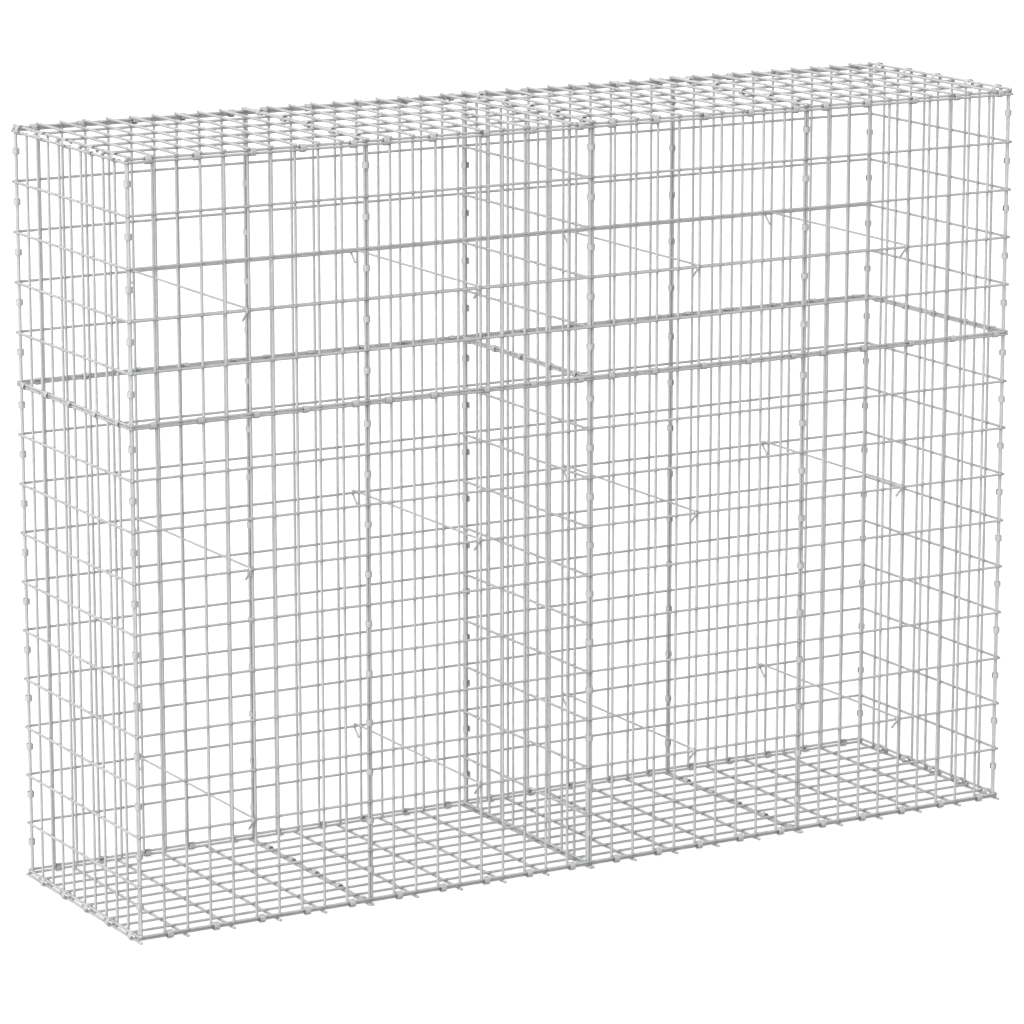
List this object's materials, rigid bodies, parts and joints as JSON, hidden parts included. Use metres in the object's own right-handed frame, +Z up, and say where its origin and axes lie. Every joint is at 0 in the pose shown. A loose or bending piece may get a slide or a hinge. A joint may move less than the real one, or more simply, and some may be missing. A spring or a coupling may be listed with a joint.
{
  "type": "gabion wall basket",
  "caption": "Free-standing gabion wall basket of welded wire mesh in two tiers, with floor, lid, a cross divider, tie rods and clipped edges; empty, ready to be filled with stone.",
  "frame": {"origin": "centre of the ground rectangle under the wall, at the height of the ground", "axes": "+X along the wall's length to the right seen from the front, +Y from the front to the back, +Z up"},
  "size_m": [2.048, 0.5365, 1.5367],
  "materials": {
    "mesh_wire": "hot-dip galvanised, matt",
    "tie_wire": "galvanised, matt",
    "clip_wire": "galvanised, satin"
  },
  "bodies": {
    "root": {"front_lower_1": "mesh_wire", "front_lower_2": "mesh_wire", "front_lower_3": "mesh_wire", "front_lower_4": "mesh_wire", "back_lower_1": "mesh_wire", "back_lower_2": "mesh_wire", "back_lower_3": "mesh_wire", "back_lower_4": "mesh_wire", "left_lower": "mesh_wire", "divider_lower": "mesh_wire", "right_lower": "mesh_wire", "front_upper_1": "mesh_wire", "front_upper_2": "mesh_wire", "front_upper_3": "mesh_wire", "front_upper_4": "mesh_wire", "back_upper_1": "mesh_wire", "back_upper_2": "mesh_wire", "back_upper_3": "mesh_wire", "back_upper_4": "mesh_wire", "left_upper": "mesh_wire", "divider_upper": "mesh_wire", "right_upper": "mesh_wire", "floor_1": "mesh_wire", "floor_2": "mesh_wire", "floor_3": "mesh_wire", "floor_4": "mesh_wire", "lid_1": "mesh_wire", "lid_2": "mesh_wire", "lid_3": "mesh_wire", "lid_4": "mesh_wire", "ties_low": "tie_wire", "ties_mid": "tie_wire", "ties_high": "tie_wire", "clips_corners": "clip_wire", "clips_front_joints": "clip_wire", "clips_back_joints": "clip_wire", "clips_floor_edges": "clip_wire", "clips_floor_joints": "clip_wire", "clips_seam": "clip_wire", "clips_lid_edges": "clip_wire", "clips_lid_joints": "clip_wire"}
  },
  "joints": []
}
